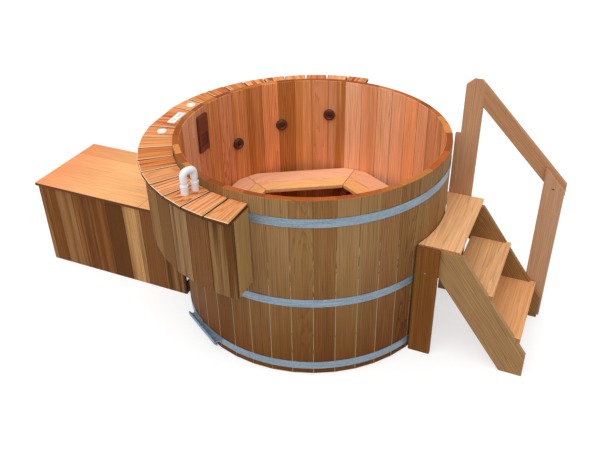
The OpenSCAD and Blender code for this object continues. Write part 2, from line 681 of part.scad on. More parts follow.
// Upright planks along X; the last one takes what is left
module wall_planks(x0, x1, y) {
    n = floor((x1 - x0) / box_pitch);
    for (i = [0:n - 1]) {
        a = x0 + i * box_pitch;
        b = i == n - 1 ? x1 : a + box_pitch;
        translate([a + joint, y, 0]) board_z([b - a - joint, box_t, box_h]);
    }
}
module box_front_planks() color("tan") wall_planks(box_x0, box_x1, box_y0);
box_back_x1 = -846;
module box_back_planks() color("tan") wall_planks(box_x0, box_back_x1, box_y1 - box_t);
module box_end_planks() color("tan") {
    y0 = box_y0 + box_t;
    w = (box_y1 - box_t - y0) / 4;
    for (i = [0:3]) translate([box_x0, y0 + i * w + joint, 0]) board_z([box_t, w - 2 * joint, box_h]);
}

// Posts in the corners and rails along the tops and feet of the walls
frame_w = 36;
frame_y = [box_y0 + box_t, box_y1 - box_t - frame_w];
module box_frame() color("sienna") {
    x0 = box_x0 + box_t;
    posts = [x0, -1420, -900];             // left faces of the posts
    foot = 30;                             // the lower rails hang clear of the ground
    for (x = posts, y = frame_y) translate([x, y, 0]) board_z([frame_w, frame_w, box_h]);
    for (i = [0, 1], y = frame_y, z = [foot, box_h - frame_w]) translate([posts[i] + frame_w + joint, y, z])
        board_x([posts[i + 1] - posts[i] - frame_w - 2 * joint, frame_w, frame_w]);
    for (z = [foot, box_h - frame_w]) translate([x0, frame_y[0] + frame_w + joint, z])
        board_y([frame_w, frame_y[1] - frame_y[0] - frame_w - 2 * joint, frame_w]);
    translate([lid_x1 - frame_w, frame_y[0] + frame_w + joint, box_h - frame_w])
        board_y([frame_w * 2, frame_y[1] - frame_y[0] - frame_w - 2 * joint, frame_w]);
}

// A short, low kerb that returns from the front wall towards the tub
sill = [20, 48, 83];
module box_sill() color("saddlebrown") translate([box_x1 - sill[0], box_y0 + box_t, 0]) board_y(sill);

// The boards that lie under the skirt are fixed, cut to the tub's round wall
module box_fixed_top() color("peru") difference() {
    for (i = [0:3]) translate([lid_x1 + 2, lid_seams[i] + joint, lid_z])
        board_x([box_x1 + lid_over - lid_x1 - 2, lid_seams[i + 1] - lid_seams[i] - joint, lid_t], 1.5);
    translate([0, 0, lid_z - 1]) cylinder(r = tub_corner + 1, h = lid_t + 2, $fn = 96);
    translate([return_xy[0], return_xy[1], lid_z - 1]) cylinder(r = bore_pipe + 1.5, h = lid_t + 2);
    translate([skim_xy[0], skim_xy[1], lid_z - 1]) cylinder(r = skim_pipe_r + 1.5, h = lid_t + 2);
}

// The lid opens on three hinges along its back edge
module lid_boards() color("peru") for (i = [0:3])
    translate([box_x0 - lid_over, lid_seams[i] + joint, lid_z])
        board_x([lid_x1 - box_x0 + lid_over, lid_seams[i + 1] - lid_seams[i] - joint, lid_t], 1.5);
batten_y = [frame_y[0] + frame_w + 14, frame_y[1] - 14];
batten_w = 60;
batten_t = 20;
module lid_battens() color("sienna") for (x = hinge_x)
    translate([x - batten_w / 2, batten_y[0], lid_z - batten_t])
        board_y([batten_w, batten_y[1] - batten_y[0], batten_t]);

// Butt hinges: leaves on the wall and on the lid's edge, round a shared pin
knuckle_r = 4.5;
leaf_t = 2;
leaf_x = 38;                               // half the length of a leaf
mid_x = 12.5;                              // half the length of the lid's knuckle
fixed_x = [[-leaf_x, -mid_x - 0.5], [mid_x + 0.5, leaf_x]];
module hinge_fixed_leaves() color("silver") for (x = hinge_x) translate([x, 0, lid_z]) {
    for (s = fixed_x) {
        translate([0, pin_y, 0]) bar_x(s[0], s[1], knuckle_r);
        translate([s[0], box_y1, -3]) cube([s[1] - s[0], pin_y - box_y1, 2.5]);
        translate([s[0], box_y1, -10]) cube([s[1] - s[0], leaf_t, 9]);
    }
    translate([0, pin_y, 0]) bar_x(-mid_x - 1.5, mid_x + 1.5, 1.8);
    translate([-leaf_x, box_y1, -42]) cube([2 * leaf_x, leaf_t, 36]);
}
module hinge_lid_leaves() color("silver") for (x = hinge_x) translate([x, 0, lid_z]) difference() {
    union() {
        translate([0, pin_y, 0]) bar_x(-mid_x, mid_x, knuckle_r);
        translate([-mid_x, box_y1 + 0.05, 1]) cube([2 * mid_x, pin_y - box_y1, 2.5]);
        translate([-mid_x, box_y1 + 0.05, 1]) cube([2 * mid_x, leaf_t, 9]);
        translate([-leaf_x, box_y1 + 0.05, 7]) cube([2 * leaf_x, leaf_t, 12]);
    }
    translate([0, pin_y, 0]) bar_x(-20, 20, 2.1);
}

// ---------------------------------------------------------------- equipment

port_r = 30;                               // the sockets that the pipes plug into

// Pump: a finned motor on a foot, with the wet end in front of it
pump_at = [-1560, -215, 118];
pump_inlet = 240;
pump_outlet = [155, 180];
module pump() color("dimgray") translate(pump_at) {
    rotate([0, 90, 0]) rotate_extrude() polygon([[0, -150], [60, -150], [72, -138], [72, 120], [0, 120]]);
    for (a = [0:30:330]) rotate([a, 0, 0]) translate([-130, -2, 68]) cube([240, 4, 12]);
    rotate([0, 90, 0]) rotate_extrude()
        polygon([[0, 119], [90, 119], [96, 128], [96, 182], [84, 196], [40, 198], [34, pump_inlet],
                 [0, pump_inlet]]);
    translate([pump_outlet[0], 0, 60]) cylinder(r = port_r, h = pump_outlet[1] - 60);
    translate([-110, -70, -pump_at[2]]) cube([250, 140, 14]);
    translate([-80, -30, 8 - pump_at[2]]) cube([180, 60, 60]);
}

// Filter: a tall canister, a clamp ring and a domed lid
filter_at = [-1120, -215, 0];
filter_in = 340;
filter_out = 100;
filter_port = 165;
module filter_housing() color("whitesmoke") translate(filter_at) {
    rotate_extrude() polygon([[0, 0], [110, 0], [118, 8], [118, 360], [132, 368], [132, 412], [120, 420],
        [112, 446], [84, 470], [40, 482], [0, 484]]);
    translate([0, 0, filter_in]) rotate([0, -90, 0]) cylinder(r = port_r, h = filter_port);
    translate([0, 0, filter_out]) rotate([-90, 0, 0]) cylinder(r = port_r, h = filter_port);
}

// Heater: a stainless tube with union nuts, under the control pack
heater_at = [-1560, 130, 262];
heater_end = 40;
heater_l = 410;
module heater() color("silver") translate(heater_at) rotate([0, 90, 0]) rotate_extrude()
    polygon([[0, -heater_end], [port_r, -heater_end], [port_r, -12], [48, -12], [48, 24], [37, 30],
             [37, 350], [48, 356], [48, 392], [port_r, 392], [port_r, heater_l], [0, heater_l]]);

// Control pack: a box with a sloping cover, fixed to the back frame
pack_at = [-1580, frame_y[1], 316];
pack_l = 420;
strap = [20, frame_w + 1, 290];
module control_pack() color("gray") translate(pack_at) {
    rotate([90, 0, 90]) linear_extrude(pack_l)
        polygon([[-0.5, 0], [-0.5, 244], [-80, 244], [-122, 204], [-122, 14], [-108, 0]]);
    for (x = [60, pack_l - 75]) translate([x, -1, -26]) cube(strap);
}

// ---------------------------------------------------------------- steps

slope = 1.357;                             // fall of the stringers
nose_x = 1497;                             // the stringers' front ends
back_x = 860;                              // and their back ends
upper_x = 1059.1;                          // where the upper edge meets the top tread
upper_z = tread_z[0] - lumber;
stringer_drop = stringer_w * sqrt(1 + slope * slope);
function upper_edge(x) = upper_z - slope * (x - upper_x);
function lower_edge(x) = upper_edge(x) - stringer_drop;

// A stringer's outline: sloping, with a plumb nose, a level foot and a plumb back
module stringer_outline() polygon([[back_x, upper_z], [upper_x, upper_z], [nose_x, upper_edge(nose_x)],
    [nose_x, 0], [upper_x + (upper_z - stringer_drop) / slope, 0], [back_x, lower_edge(back_x)]]);

// The lower treads are housed in the stringers' inner faces
housing = 18;
inner_y = [stringer_y[0] + lumber, stringer_y[1] - lumber];
module step_stringers() color("peru") difference() {
    for (y = [stringer_y[0], inner_y[1]]) slab_xz(y, y + lumber) stringer_outline();
    for (i = [1, 2])
        translate([tread_x[i] - tread_w - 0.2, inner_y[0] - housing - 0.2, tread_z[i] - lumber - 0.2])
            cube([2 * tread_w, inner_y[1] - inner_y[0] + 2 * housing + 0.4, lumber + 0.4]);
}

// The top tread is cut to the tub's round wall; the lower two run between the stringers
top_tread_y = [stringer_y[0], stringer_y[1] + 28];
module step_treads() color("sandybrown") {
    difference() {
        translate([post_x[0] - 35, top_tread_y[0], upper_z])
            board_y([tread_x[0] - post_x[0] + 35, top_tread_y[1] - top_tread_y[0], lumber], 3);
        translate([0, 0, upper_z - 1]) cylinder(r = clear_r, h = lumber + 2, $fn = 96);
    }
    for (i = [1, 2]) translate([tread_x[i] - tread_w, inner_y[0] - housing, tread_z[i] - lumber])
        board_y([tread_w, inner_y[1] - inner_y[0] + 2 * housing, lumber], 3);
}

// A leg outside the near stringer stops beside the top tread's end
leg_x = [800, 935];
module step_near_leg() color("peru") translate([leg_x[0], stringer_y[0] - lumber - 0.2, 0])
    board_z([leg_x[1] - leg_x[0], lumber, tread_z[0] - 10]);

// The far post rises past the top tread; it is narrowed above a ledge and its top is clipped
post_x = [815, 848, 959];
post_y = [stringer_y[1] + lumber, stringer_y[1] + 2 * lumber];
ledge_z = 1198;
module handrail_upper_post() color("sienna") slab_xz(post_y[0], post_y[1])
    polygon([[post_x[0], 0], [post_x[2], 0], [post_x[2], rail_z - 21], [post_x[2] - 20, rail_z],
             [post_x[1] + 41, rail_z], [post_x[1], rail_z - 35], [post_x[1], ledge_z], [post_x[0], ledge_z]]);

// A block fills the gap between the far stringer and the post
packer = [post_x[0] + 50, 585];
module post_packer() color("peru") translate([packer[0], stringer_y[1], packer[1]])
    board_z([post_x[2] - packer[0], lumber, upper_z - packer[1]]);

// The lower post stands outside the far stringer; its top is cut square to the rail
low_x = [1380, 1509];
low_z = [1082, 947];
module handrail_lower_post() color("peru") slab_xz(stringer_y[1], stringer_y[1] + lumber)
    polygon([[low_x[0], 0], [low_x[1], 0], [low_x[1], low_z[1]], [low_x[0], low_z[0]]]);

// The rail butts on the upper post and is fixed to the back of the lower one
rail_slope = 1.007;
rail_x = [post_x[2] + 0.2, 1511];
rail_drop = rail_w * sqrt(1 + rail_slope * rail_slope);
function rail_top(x) = rail_z - rail_slope * (x - post_x[2] + 19);
module handrail() color("peru") slab_xz(post_y[0], post_y[1]) {
    clip_x = rail_x[1] - 68;
    polygon([[rail_x[0], rail_top(rail_x[0])], [rail_x[1], rail_top(rail_x[1])],
             [rail_x[1], rail_top(rail_x[1]) - 70], [clip_x, rail_top(clip_x) - rail_drop],
             [rail_x[0], rail_top(rail_x[0]) - rail_drop]]);
}

// ---------------------------------------------------------------- drawing

staves();
skimmer_stave();
floor_boards();
floor_joists();
hoops();
draw_lugs();
draw_rods();
bench_outer_boards();
bench_inner_boards();
bench_bearers();
bench_legs();
jet_bodies();
jet_face_1();
jet_face_2();
jet_face_3();
jet_face_4();
jet_face_5();
jet_face_6();
suction_fittings();
skimmer_plate();
skimmer_throat();
skimmer_flap();
cap_boards();
cap_panel_board();
skirt_planks();
skirt_end_panels();
skirt_bands();
skirt_arms();
control_panel();
panel_button_1();
panel_button_2();
panel_button_3();
air_valves();
air_knob_1();
air_knob_2();
air_loop_pipes();
air_loop_fittings();
water_pipes();
air_pipes();
box_front_planks();
box_back_planks();
box_end_planks();
box_frame();
box_sill();
box_fixed_top();
lid_boards();
lid_battens();
hinge_fixed_leaves();
hinge_lid_leaves();
pump();
filter_housing();
heater();
control_pack();
step_treads();
step_stringers();
step_near_leg();
handrail_upper_post();
post_packer();
handrail_lower_post();
handrail();
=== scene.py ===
import bpy
import numpy as np
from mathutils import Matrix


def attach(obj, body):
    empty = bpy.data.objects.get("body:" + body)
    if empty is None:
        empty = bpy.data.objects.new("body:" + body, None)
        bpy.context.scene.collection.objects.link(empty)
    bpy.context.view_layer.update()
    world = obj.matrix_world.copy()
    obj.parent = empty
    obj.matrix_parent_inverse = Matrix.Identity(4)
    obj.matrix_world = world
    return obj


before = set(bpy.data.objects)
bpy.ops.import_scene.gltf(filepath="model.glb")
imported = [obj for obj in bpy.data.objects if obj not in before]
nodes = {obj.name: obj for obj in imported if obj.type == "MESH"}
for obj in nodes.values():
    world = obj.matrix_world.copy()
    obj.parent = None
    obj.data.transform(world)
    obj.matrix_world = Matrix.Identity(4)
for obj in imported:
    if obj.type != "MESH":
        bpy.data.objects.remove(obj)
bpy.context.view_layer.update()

# ---------------------------------------------------------------- camera
# The eye stands in front of the tub's right half and looks down across it to the left. Its place, its
# turn and its lens were worked out from the ellipses of the rim and the hoops and from the long edges of
# the box.


def stand(thing, axes, spot):
    """Puts a camera or a lamp at a spot. The three axes are its own x, y and z in the scene, and become
    the columns of its matrix."""
    placed = np.eye(4)
    placed[:3, :3] = np.transpose(axes)
    placed[:3, 3] = spot
    thing.matrix_world = placed.T.tolist()
    bpy.context.scene.collection.objects.link(thing)


eye = (1.5727, -3.6579, 3.1020)
turn, down, roll = np.radians([-24.485, 32.898, -1.020])
ahead = np.array([np.sin(turn) * np.cos(down), np.cos(turn) * np.cos(down), -np.sin(down)])
level = np.array([np.cos(turn), -np.sin(turn), 0.0])
upright = np.cross(level, ahead)
right = np.cos(roll) * level + np.sin(roll) * upright
top = -np.sin(roll) * level + np.cos(roll) * upright
lens = bpy.data.cameras.new("photo_lens")
lens.sensor_fit = "HORIZONTAL"
lens.sensor_width = 36.0
lens.lens = 42.40
camera = bpy.data.objects.new("photo_camera", lens)
stand(camera, [right, top, -ahead], eye)
bpy.context.scene.camera = camera

# ---------------------------------------------------------------- staves
# Forty-two staves of western red cedar, jointed with a bead and a cove and standing in a ring. The wood
# is oiled brown outside and bare, pinker and redder inside; the rim shows its orange end grain.
PITCH = 2 * np.pi / 42
SEAM = np.radians(1.9)
WALL_MIDDLE = 0.835
# Which outputs of the texture coordinate node give the normal and the place in the object's own frame
NORMAL, OBJECT = 1, 3


def srgb(code):
    """An sRGB hex colour as linear RGBA: values up to 0.04045 are divided by 12.92, the others are
    shifted by 0.055, divided by 1.055 and raised to the power 2.4."""
    v = np.array([int(code[i:i + 2], 16) for i in (1, 3, 5)]) / 255
    return tuple(np.where(v <= 0.04045, v / 12.92, ((v + 0.055) / 1.055) ** 2.4)) + (1.0,)


def add(tree, kind, *values, stops=(), **settings):
    """Adds one node with its settings, and gives its open inputs their values in turn: a number, a hex
    colour, a list or another node's output, where None leaves an input alone. stops are a ramp's places
    and colours. It returns the node's open output, or a list of them if it has several."""
    node = tree.nodes.new("ShaderNode" + kind)
    for key, value in settings.items():
        setattr(node, key, value)
    for _ in range(len(stops) - 2):
        node.color_ramp.elements.new(0.5)
    for element, (place, colour) in zip(node.color_ramp.elements if stops else (), stops):
        element.position = place
        element.color = srgb(colour)
    for socket, value in zip([s for s in node.inputs if s.enabled], values):
        if isinstance(value, bpy.types.NodeSocket):
            tree.links.new(value, socket)
        elif value is not None:
            socket.default_value = srgb(value) if isinstance(value, str) else value
    outputs = [s for s in node.outputs if s.enabled]
    return outputs[0] if len(outputs) == 1 else outputs


def coated(name, mix, on, **sockets):
    """Makes one material. mix(tree) returns the values of Principled's sockets that a pattern drives, and
    the other sockets are set by name. on lists the nodes that get the material."""
    material = bpy.data.materials.new(name)
    material.use_nodes = True
    tree = material.node_tree
    shader = tree.nodes["Principled BSDF"]
    driven = mix(tree)
    for key, value in {**{k.replace("_", " "): v for k, v in sockets.items()}, **driven}.items():
        socket = shader.inputs[key]
        if isinstance(value, bpy.types.NodeSocket):
            tree.links.new(value, socket)
        else:
            socket.default_value = srgb(value) if isinstance(value, str) else value
    for key in on:
        for slot in nodes[key].material_slots:
            slot.material = material
    return material


def ring_frame(tree, first, pitch, middle, along):
    """Boards set in a ring. The direction from the axis, less first, divided by pitch gives the board's
    number. The distance from the axis, times the sine of the angle from the board's middle, is the place
    across; the same distance less middle is the place outwards. along is the direction of the grain: z,
    out from the axis or round it. edge is the distance to the nearest joint."""
    place = add(tree, "TexCoord")[OBJECT]
    facing = add(tree, "TexCoord")[NORMAL]
    x, y, z = add(tree, "SeparateXYZ", place)
    angle = add(tree, "Math", y, x, operation="ARCTAN2")
    angle = add(tree, "Math", angle, first, operation="SUBTRACT")
    turns = add(tree, "Math", angle, pitch, operation="DIVIDE")
    number = add(tree, "Math", turns, operation="FLOOR")
    rest = add(tree, "Math", turns, number, operation="SUBTRACT")
    number = add(tree, "Math", number, 2 * np.pi / pitch, operation="FLOORED_MODULO")
    number = add(tree, "Math", number, operation="ROUND")
    rest = add(tree, "Math", rest, 0.5, operation="SUBTRACT")
    angle = add(tree, "Math", rest, pitch, operation="MULTIPLY")
    radius = add(tree, "Math", x, x, operation="MULTIPLY")
    radius = add(tree, "Math", y, y, radius, operation="MULTIPLY_ADD")
    radius = add(tree, "Math", radius, operation="SQRT")
    sine = add(tree, "Math", angle, operation="SINE")
    across = add(tree, "Math", radius, sine, operation="MULTIPLY")
    outward = add(tree, "Math", radius, middle, operation="SUBTRACT")
    edge = add(tree, "Math", rest, operation="ABSOLUTE")
    edge = add(tree, "Math", 0.5, edge, operation="SUBTRACT")
    edge = add(tree, "Math", edge, radius, operation="MULTIPLY")
    edge = add(tree, "Math", edge, pitch, operation="MULTIPLY")
    flat = add(tree, "CombineXYZ", x, y, 0.0)
    grain = {"z": (0.0, 0.0, 1.0), "out": add(tree, "VectorMath", flat, operation="NORMALIZE"),
             "round": (0.0, 0.0, 0.0)}[along]
    end = add(tree, "VectorMath", facing, grain, operation="DOT_PRODUCT")
    end = add(tree, "Math", end, operation="ABSOLUTE")
    order = {"z": (across, outward, z), "out": (across, z, outward), "round": (outward, z, across)}[along]
    return {"number": number, "place": add(tree, "CombineXYZ", *order), "edge": edge, "end": end,
            "radius": radius, "z": z, "facing": facing}


def figure(tree, board, spacing, flat):
    """The figure of a sawn board. Growth rings are the distance to the tree's heart, an axis that passes
    the board at a random place and wanders along it, divided by spacing; the remainder of that, cubed, is
    the dark late wood. In most boards the heart is far to one side, so the rings are straight lines; in
    a share called flat it lies close behind the face and wanders more, which draws arches. Fibres are
    noise drawn out along the grain, and bands are a broader noise of the same kind. Real cedar has rings
    1 to 3 mm apart and hair-thin fibres. Rings are drawn about five times wider and fibres 4 mm wide, or
    they wouldn't show in the whole picture."""
    heart_depth, heart_near, heart_far = 0.045, 0.01, (0.25, 0.7)
    sway, arched_sway = 0.035, 0.15
    draw, colours = add(tree, "TexWhiteNoise", board["number"], noise_dimensions="1D")
    one, two, three = add(tree, "SeparateColor", colours)
    arched = add(tree, "Math", draw, flat, operation="LESS_THAN")
    # each board takes its noise from a place of its own, up to 7 m off along every axis
    moved = add(tree, "VectorMath", colours, (7.0, 7.0, 7.0), board["place"], operation="MULTIPLY_ADD")
    # the heart sways from side to side about every 0.8 m of the board's length
    long = add(tree, "VectorMath", moved, (5.0, 5.0, 1.3), operation="MULTIPLY")
    wander = add(tree, "TexNoise", long, 1.0, 2.0, 0.5)[0]
    wander = add(tree, "Math", wander, 0.5, operation="SUBTRACT")
    swing = add(tree, "MapRange", arched, 0.0, 1.0, sway, arched_sway)
    wander = add(tree, "Math", wander, swing, operation="MULTIPLY")
    u, v = add(tree, "SeparateXYZ", board["place"])[:2]
    aside = add(tree, "MapRange", two, 0.0, 1.0, *heart_far)
    aside = add(tree, "Mix", arched, aside, heart_near)
    u = add(tree, "Math", u, aside, operation="SUBTRACT")
    u = add(tree, "Math", u, wander, operation="ADD")
    v = add(tree, "Math", v, heart_depth, operation="ADD")
    v = add(tree, "Math", v, wander, operation="ADD")
    heart = add(tree, "CombineXYZ", u, v, 0.0)
    distance = add(tree, "VectorMath", heart, operation="LENGTH")
    count = add(tree, "Math", distance, spacing, operation="DIVIDE")
    # wet and dry years shift the rings by up to 2.4 of their spacings, in patches about 22 mm wide
    thick = add(tree, "VectorMath", moved, (45.0, 45.0, 1.5), operation="MULTIPLY")
    uneven = add(tree, "TexNoise", thick, 1.0, 2.0, 0.5)[0]
    count = add(tree, "Math", uneven, 2.4, count, operation="MULTIPLY_ADD")
    rings = add(tree, "Math", count, operation="FRACT")
    rings = add(tree, "Math", rings, 3.0, operation="POWER")
    # fibres 4 mm wide and 250 mm long, bands 45 mm wide and 2 m long
    fine = add(tree, "VectorMath", moved, (260.0, 260.0, 4.0), operation="MULTIPLY")
    fibres = add(tree, "TexNoise", fine, 1.0, 3.0, 0.6)[0]
    broad = add(tree, "VectorMath", moved, (22.0, 22.0, 0.5), operation="MULTIPLY")
    bands = add(tree, "TexNoise", broad, 1.0, 3.0, 0.55)[0]
    bands = add(tree, "MapRange", bands, 0.44, 0.58, 0.0, 1.0)
    return {"pick": one, "other": two, "third": three, "level": draw, "rings": rings, "fibres": fibres,
            "bands": bands}


def drawn(tree, share, tones):
    """One of the tones, each with the same chance, by a share from nought to one."""
    tone = add(tree, "ValToRGB", share, stops=list(zip(np.arange(len(tones)) / len(tones), tones)))[0]
    tone.node.color_ramp.interpolation = "CONSTANT"
    return tone


def wood_colour(tree, wood, tones, strength, late="#9c6438", vary=0.1):
    """The colour of a set of boards. Each board draws its tone and that of its bands from the tones. Late
    wood multiplies it by the colour late, as far as strength says; the fibres change it by a fifth
    either way, and whole boards by vary either way."""
    tone = drawn(tree, wood["pick"], tones)
    second = drawn(tree, wood["other"], tones)
    share = add(tree, "Math", wood["bands"], 0.5, operation="MULTIPLY")
    tone = add(tree, "Mix", share, tone, second, data_type="RGBA")
    # the late wood of one board shows up to three times as much as that of another
    dark = add(tree, "Mix", 1.0, tone, late, data_type="RGBA", blend_type="MULTIPLY")
    depth = add(tree, "Math", wood["third"], 0.8 * strength, 0.35 * strength, operation="MULTIPLY_ADD")
    depth = add(tree, "Math", depth, wood["rings"], operation="MULTIPLY")
    tone = add(tree, "Mix", depth, tone, dark, data_type="RGBA")
    value = add(tree, "MapRange", wood["fibres"], 0.3, 0.7, 0.8, 1.2)
    level = add(tree, "MapRange", wood["level"], 0.0, 1.0, 1.0 - vary, 1.0 + vary)
    value = add(tree, "Math", value, level, operation="MULTIPLY")
    return add(tree, "HueSaturation", 0.5, 1.0, value, 1.0, tone)


def with_ends(tree, board, wood, colour, ends):
    """Puts the end grain's colour, mottled by the rings, on the faces that look along the grain."""
    mottle = add(tree, "MapRange", wood["rings"], 0.0, 1.0, 1.12, 0.5)
    tone = add(tree, "HueSaturation", 0.5, 1.0, mottle, 1.0, ends)
    share = add(tree, "MapRange", board["end"], 0.75, 0.9, 0.0, 1.0)
    return add(tree, "Mix", share, colour, tone, data_type="RGBA")


def with_seams(tree, board, colour, width, tone):
    """Darkens the joint lines between the boards, drawn 3 to 4 mm wide so that they show in the whole
    picture, where the real ones are eased edges about 1 mm wide."""
    share = add(tree, "MapRange", board["edge"], width, width * 0.4, 0.0, 1.0)
    return add(tree, "Mix", share, colour, tone, data_type="RGBA")


def raised(tree, height, strength, depth):
    """The normal of a surface whose pattern stands up by a depth in metres."""
    return add(tree, "Bump", strength, depth, None, height)


def oiled(tree, wood, colour):
    """The finish of oiled softwood: late wood and fibres stand half a millimetre proud at most, and the
    oil has dried in, so the surface mirrors much less than varnish and its colour stays deep."""
    height = add(tree, "Math", wood["rings"], 0.6, wood["fibres"], operation="MULTIPLY_ADD")
    return {"Base Color": colour, "Specular IOR Level": 0.15,
            "Normal": raised(tree, height, strength=0.35, depth=0.0006)}


def stave_cedar(tree):
    """Cedar staves: oiled outside and darker towards the bottom; bare inside. Outside, pale dashes along
    the joints are painted highlights on the joints' edges, mostly low down. The rim is soaked end grain
    in deep orange, its tone different on every stave."""
    board = ring_frame(tree, first=SEAM, pitch=PITCH, middle=WALL_MIDDLE, along="z")
    wood = figure(tree, board, spacing=0.012, flat=0.16)
    outside = wood_colour(tree, wood, ["#9e7444", "#a47a49", "#976b3c", "#a98355", "#9a6e40", "#a27448"],
                          strength=0.75, late="#8a5c34", vary=0.05)
    # darkest at the ground, fading out by 0.9 m upwards
    height = add(tree, "MapRange", board["z"], 0.05, 0.9, 0.0, 1.0)
    low_darkening = add(tree, "Mix", height, "#b89053", "#ffffff", data_type="RGBA")
    outside = add(tree, "Mix", 1.0, outside, low_darkening, data_type="RGBA", blend_type="MULTIPLY")
    inside = wood_colour(tree, wood, ["#f7aa76", "#e18c43", "#ffc195", "#c47c3f", "#fbb484", "#ffc79b",
                                      "#d58e4e", "#f5a66e"], strength=0.8, late="#a8602e", vary=0.14)
    seamed = with_seams(tree, board, outside, width=0.0018, tone="#6a4826")
    # dashes of painted highlight about 70 mm long, other ones on each stave: low down nearly the whole joint,
    # at the rim none
    joint_glint = add(tree, "CombineXYZ", board["number"], 0.0, board["z"])
    joint_glint = add(tree, "VectorMath", joint_glint, (3.7, 1.0, 14.0), operation="MULTIPLY")
    joint_glint = add(tree, "TexNoise", joint_glint, 1.0, 1.0, 0.5)[0]
    low = add(tree, "MapRange", board["z"], 0.45, 1.10, 0.34, 0.74)
    joint_glint = add(tree, "Math", joint_glint, low, operation="GREATER_THAN")
    line = add(tree, "MapRange", board["edge"], 0.0020, 0.0010, 0.0, 0.75)
    line = add(tree, "Math", line, joint_glint, operation="MULTIPLY")
    # lays the pale painted highlight on the dashes
    outside = add(tree, "Mix", line, seamed, "#d8c39a", data_type="RGBA")
    inside = with_seams(tree, board, inside, width=0.0022, tone="#a0582c")
    inner = add(tree, "Math", board["radius"], WALL_MIDDLE + 0.0005, operation="LESS_THAN")
    colour = add(tree, "Mix", inner, outside, inside, data_type="RGBA")
    soaked = [(0.0, "#a4450b"), (0.35, "#c5651f"), (0.6, "#8c400b"), (1.0, "#e08d43")]
    soaked = add(tree, "ValToRGB", wood["third"], stops=soaked)[0]
    colour = with_ends(tree, board, wood, colour, soaked)
    return oiled(tree, wood, colour)


coated("cedar_staves_oiled", stave_cedar, ["staves", "skimmer_stave"], Roughness=0.62)

# ---------------------------------------------------------------- floor and joists
# Thirteen tongued floor boards sit in the croze, on three square joists that stand on the ground.
# They are the same cedar, painted darker for the shade that falls deep in the tub.


def row_frame(tree, split, start, width, grain, middle, last=99):
    """Boards side by side. The place along split, less start, divided by width gives the board's number,
    held between nought and last. split and grain are unit vectors at right angles; middle is the boards'
    middle plane along the third direction."""
    place = add(tree, "TexCoord")[OBJECT]
    facing = add(tree, "TexCoord")[NORMAL]
    through = np.cross(split, grain)
    u = add(tree, "VectorMath", place, tuple(split), operation="DOT_PRODUCT")
    v = add(tree, "VectorMath", place, tuple(through), operation="DOT_PRODUCT")
    v = add(tree, "Math", v, middle, operation="SUBTRACT")
    w = add(tree, "VectorMath", place, tuple(grain), operation="DOT_PRODUCT")
    share = add(tree, "Math", u, start, operation="SUBTRACT")
    share = add(tree, "Math", share, width, operation="DIVIDE")
    number = add(tree, "Math", share, operation="FLOOR")
    number = add(tree, "Clamp", number, 0.0, float(last))
    rest = add(tree, "Math", share, number, operation="SUBTRACT")
    rest = add(tree, "Math", rest, 0.5, operation="SUBTRACT")
    edge = add(tree, "Math", rest, operation="ABSOLUTE")
    edge = add(tree, "Math", 0.5, edge, operation="SUBTRACT")
    edge = add(tree, "Math", edge, width, operation="MULTIPLY")
    across = add(tree, "Math", rest, width, operation="MULTIPLY")
    end = add(tree, "VectorMath", facing, tuple(grain), operation="DOT_PRODUCT")
    end = add(tree, "Math", end, operation="ABSOLUTE")
    return {"number": number, "place": add(tree, "CombineXYZ", across, v, w), "edge": edge, "end": end,
            "facing": facing}


def moved_on(tree, board, step):
    """Moves the boards' numbers on by step, so that two sets with the same frame draw other tones."""
    board["number"] = add(tree, "Math", board["number"], step, operation="ADD")
    return board


def planks(frame_of, tones, ends, spacing=0.011, strength=0.5, seam=0.0022, seam_tone="#5a3820", step=0.0,
           vary=0.1):
    """The mix of a set of plain boards: figure, tones, joint lines and end grain. frame_of(tree) gives
    their frame, ends is the end grain's colour, seam the width of a joint line and step what is added to
    the boards' numbers."""
    def mix(tree):
        board = frame_of(tree)
        if step:
            board = moved_on(tree, board, step)
        wood = figure(tree, board, spacing, flat=0.0)
        colour = wood_colour(tree, wood, tones, strength, vary=vary)
        if seam:
            colour = with_seams(tree, board, colour, seam, seam_tone)
        colour = with_ends(tree, board, wood, colour, ends)
        return oiled(tree, wood, colour)
    return mix


X, Y, Z = np.eye(3)
coated("cedar_floor_shaded",
       planks(lambda t: row_frame(t, split=Y, start=-0.826, width=0.12708, grain=X, middle=0.108),
              tones=["#7a3813", "#6b2e0e", "#83401c"], ends="#5c270b"),
       ["floor_boards"], Roughness=0.55)
coated("cedar_joists_rough",
       planks(lambda t: row_frame(t, split=X, start=-0.75, width=0.5, grain=Y, middle=0.045),
              tones=["#8d5f38", "#7d5230"], ends="#6b4426", seam=0),
       ["floor_joists"], Roughness=0.75)

# ---------------------------------------------------------------- hoops
# Three flat hoops of hot-dip galvanised steel, drawn tight by threaded rods through riveted lugs.
# The zinc shows as a bluish grey with faint crystals and fine lines along the rolled strip.


def galvanised(tree):
    """Zinc crystals about 6 mm across and 3 mm high, in slightly different greys, and the strip's rolling
    lines, 2 to 3 mm apart. The zinc has dulled, so it mirrors little."""
    place = add(tree, "TexCoord")[OBJECT]
    stretched = add(tree, "VectorMath", place, (1.0, 1.0, 2.2), operation="MULTIPLY")
    crystal = add(tree, "TexVoronoi", stretched, 160.0)[1]
    crystal = add(tree, "SeparateColor", crystal)[0]
    lines = add(tree, "VectorMath", place, (6.0, 6.0, 420.0), operation="MULTIPLY")
    lines = add(tree, "TexNoise", lines, 1.0, 3.0, 0.6)[0]
    crystal = add(tree, "Math", crystal, 0.3, operation="MULTIPLY")
    both = add(tree, "Math", lines, 1.35, crystal, operation="MULTIPLY_ADD")
    colour = add(tree, "ValToRGB", both, stops=[(0.4, "#607484"), (0.78, "#8196a6"), (1.1, "#9eafbc")])[0]
    rough = add(tree, "MapRange", both, 0.2, 1.5, 0.38, 0.56)
    return {"Base Color": colour, "Roughness": rough,
            "Normal": raised(tree, both, strength=0.25, depth=0.0004)}


